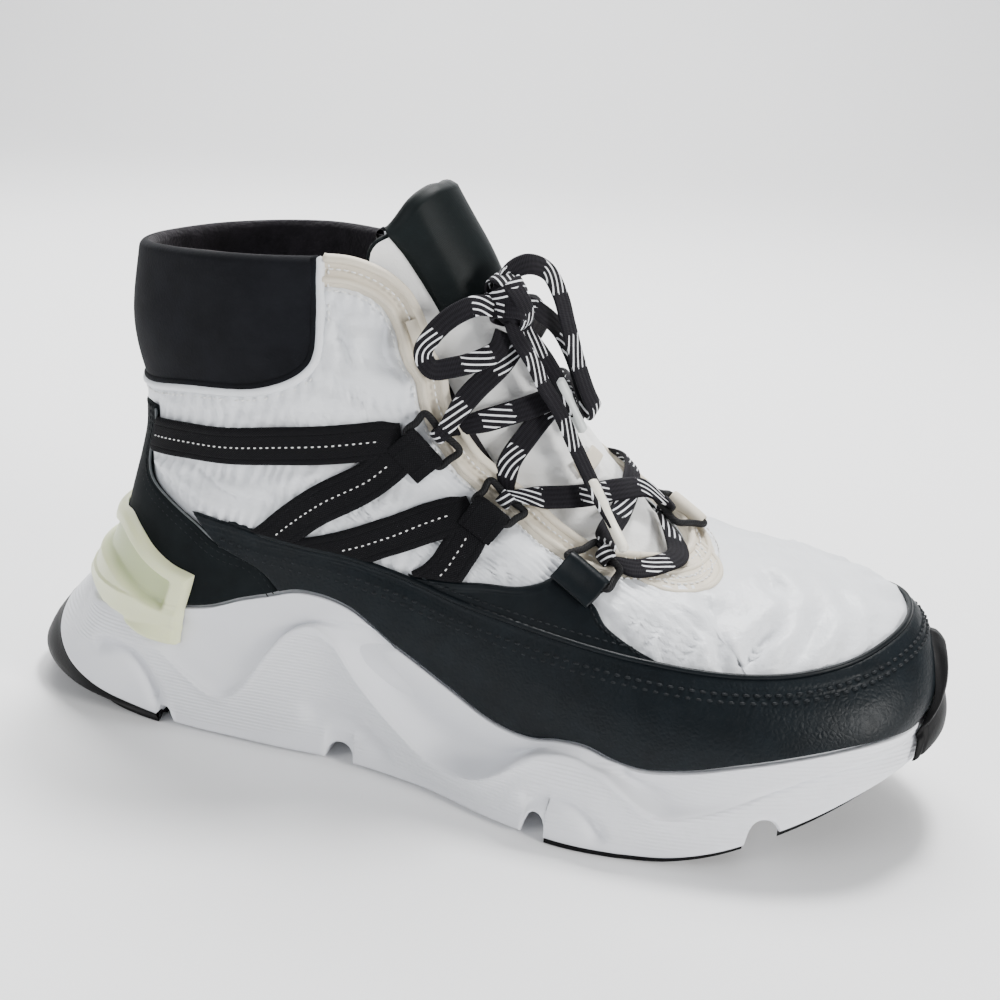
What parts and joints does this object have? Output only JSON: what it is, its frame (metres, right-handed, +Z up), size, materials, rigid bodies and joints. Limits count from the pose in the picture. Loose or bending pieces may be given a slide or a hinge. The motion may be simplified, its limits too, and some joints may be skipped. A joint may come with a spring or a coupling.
{
  "type": "sneaker boot",
  "caption": "High-cut padded sneaker boot for the right foot with a cushioned sole, heel clip, webbing straps, cord lace loops and a tied flat lace.",
  "frame": {"origin": "centre of the boot's box in plan, on the plane the sole stands on", "axes": "+X from heel to toe, +Y to the inner (medial) side of this right boot, +Z up"},
  "size_m": [0.3002, 0.1103, 0.1744],
  "materials": {
    "midsole_foam": "matte moulded foam",
    "outsole_rubber": "matte black rubber",
    "insole_textile": "brushed textile",
    "quarter_nylon": "quilted satin nylon",
    "tongue_nylon": "padded satin nylon",
    "collar_knit": "matte brushed neoprene",
    "lining_fleece": "brushed fleece",
    "counter_nubuck": "matte nubuck",
    "rand_leather": "pebbled leather, low sheen",
    "eyestay_synthetic": "matte cream synthetic with welted edges",
    "heel_clip_plastic": "translucent moulded plastic, satin",
    "webbing": "woven webbing",
    "loop_cord": "woven cord",
    "lace_polyester": "flat woven polyester",
    "aglet_plastic": "gloss film",
    "thread_white": "sewing thread",
    "thread_dark": "sewing thread"
  },
  "bodies": {
    "root": {"midsole": "midsole_foam", "outsole_heel": "outsole_rubber", "outsole_fore": "outsole_rubber", "outsole_toe": "outsole_rubber", "insole": "insole_textile", "upper": "quarter_nylon", "tongue": "tongue_nylon", "heel_counter": "counter_nubuck", "rand": "rand_leather", "wing_lateral": "rand_leather", "wing_medial": "rand_leather", "heel_clip": "heel_clip_plastic", "strap_rear_lateral": "webbing", "strap_front_lateral": "webbing", "strap_rear_medial": "webbing", "strap_front_medial": "webbing", "lace_loop_lateral_1": "loop_cord", "lace_loop_lateral_2": "loop_cord", "lace_loop_lateral_3": "loop_cord", "lace_loop_medial_1": "loop_cord", "lace_loop_medial_2": "loop_cord", "lace_loop_medial_3": "loop_cord", "lace_crossings": "lace_polyester", "lace_knot": "lace_polyester", "lace_bow_left": "lace_polyester", "lace_bow_right": "lace_polyester", "lace_end_1": "lace_polyester", "lace_end_2": "lace_polyester", "aglet_1": "aglet_plastic", "aglet_2": "aglet_plastic"}
  },
  "joints": []
}
